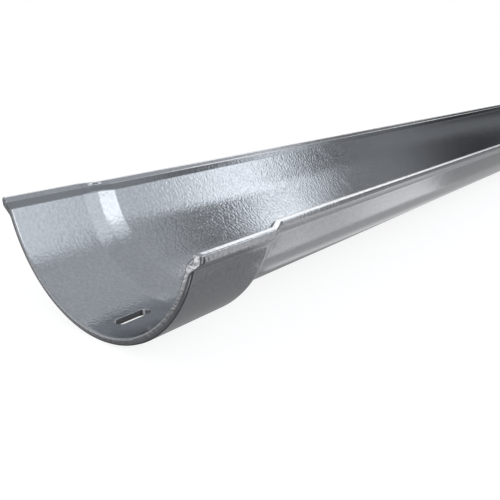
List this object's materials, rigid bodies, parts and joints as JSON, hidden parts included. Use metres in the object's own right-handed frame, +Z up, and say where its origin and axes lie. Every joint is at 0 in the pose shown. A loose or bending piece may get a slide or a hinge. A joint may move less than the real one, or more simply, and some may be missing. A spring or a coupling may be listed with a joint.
{
  "type": "half round gutter length",
  "caption": "Straight cast iron half round gutter length with a socket, lipped rims, a bolt slot in the socket and a bolt hole in the plain end.",
  "frame": {"origin": "under the middle of the length, at the level of the socket's sole", "axes": "+X along the gutter from the socket to the spigot end, +Y across it, +Z up out of the open side"},
  "size_m": [1.829, 0.1396, 0.0559],
  "materials": {
    "painted_iron": "silver grey gloss paint over a cast surface"
  },
  "bodies": {
    "root": {"gutter_length": "painted_iron"}
  },
  "joints": []
}
